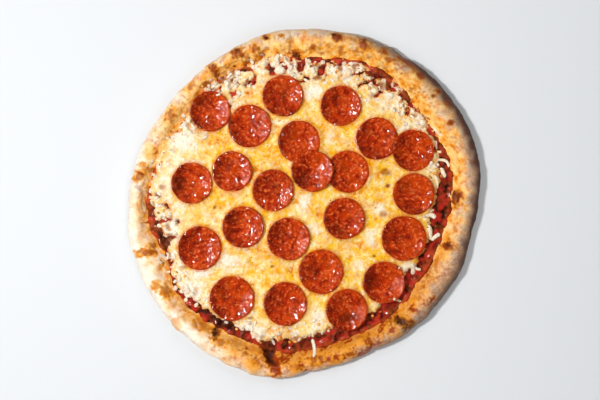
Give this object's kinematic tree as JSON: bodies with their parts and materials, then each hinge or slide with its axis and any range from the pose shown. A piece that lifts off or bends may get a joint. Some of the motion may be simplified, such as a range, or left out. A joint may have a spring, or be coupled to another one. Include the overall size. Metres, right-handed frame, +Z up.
{
  "type": "pepperoni pizza",
  "caption": "Round hand-stretched pizza with a risen baked rim, tomato sauce, melted cheese and scattered cupped pepperoni slices, lying flat.",
  "frame": {"origin": "on the surface that the pizza lies on, under the middle of its bounding box", "axes": "+Z up; +Y is the top of the pizza as seen from straight above, +X its right"},
  "size_m": [0.308, 0.305, 0.0182],
  "materials": {
    "baked_dough": "matte, floury outside and golden towards the toppings",
    "tomato_sauce": "moist, semi-gloss",
    "melted_cheese": "oily, semi-gloss, unevenly yellow",
    "cured_pepperoni": "greasy, semi-gloss"
  },
  "bodies": {
    "root": {"crust": "baked_dough", "sauce": "tomato_sauce", "cheese": "melted_cheese", "pepperoni_01": "cured_pepperoni", "pepperoni_02": "cured_pepperoni", "pepperoni_03": "cured_pepperoni", "pepperoni_04": "cured_pepperoni", "pepperoni_05": "cured_pepperoni", "pepperoni_06": "cured_pepperoni", "pepperoni_07": "cured_pepperoni", "pepperoni_08": "cured_pepperoni", "pepperoni_09": "cured_pepperoni", "pepperoni_10": "cured_pepperoni", "pepperoni_11": "cured_pepperoni", "pepperoni_12": "cured_pepperoni", "pepperoni_13": "cured_pepperoni", "pepperoni_14": "cured_pepperoni", "pepperoni_15": "cured_pepperoni", "pepperoni_16": "cured_pepperoni", "pepperoni_17": "cured_pepperoni", "pepperoni_18": "cured_pepperoni", "pepperoni_19": "cured_pepperoni", "pepperoni_20": "cured_pepperoni", "pepperoni_21": "cured_pepperoni", "pepperoni_22": "cured_pepperoni", "pepperoni_23": "cured_pepperoni"}
  },
  "joints": []
}
